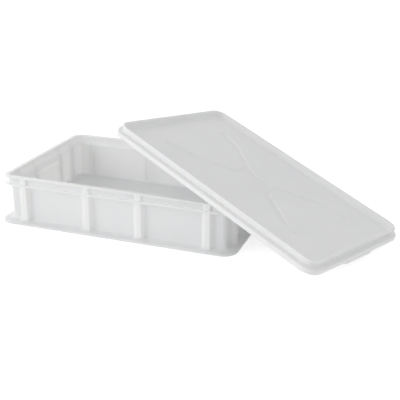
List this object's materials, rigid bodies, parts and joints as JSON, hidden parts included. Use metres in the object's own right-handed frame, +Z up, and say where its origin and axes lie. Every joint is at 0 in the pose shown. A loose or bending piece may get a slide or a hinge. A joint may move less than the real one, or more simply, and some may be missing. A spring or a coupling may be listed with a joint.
{
  "type": "dough proofing container",
  "caption": "Shallow stacking crate with an open top, double flange, ribbed walls and a foot ledge, and its tray-shaped lid leaning on the rim.",
  "frame": {"origin": "centre of the crate's foot, in the plane that it stands on", "axes": "+X along the crate's long side towards the lid's lower end, +Y across the crate to its back, +Z up"},
  "size_m": [0.9215, 0.5608, 0.2522],
  "materials": {
    "crate_plastic": "satin white polyethylene",
    "lid_plastic": "satin white polyethylene"
  },
  "bodies": {
    "container": {"container_body": "crate_plastic"},
    "lid": {"lid": "lid_plastic"}
  },
  "joints": [
    {"name": "lid_lift", "type": "slide", "parent": "container", "child": "lid", "axis": [0, 0, 1], "range_m": [0, 0.2]}
  ]
}
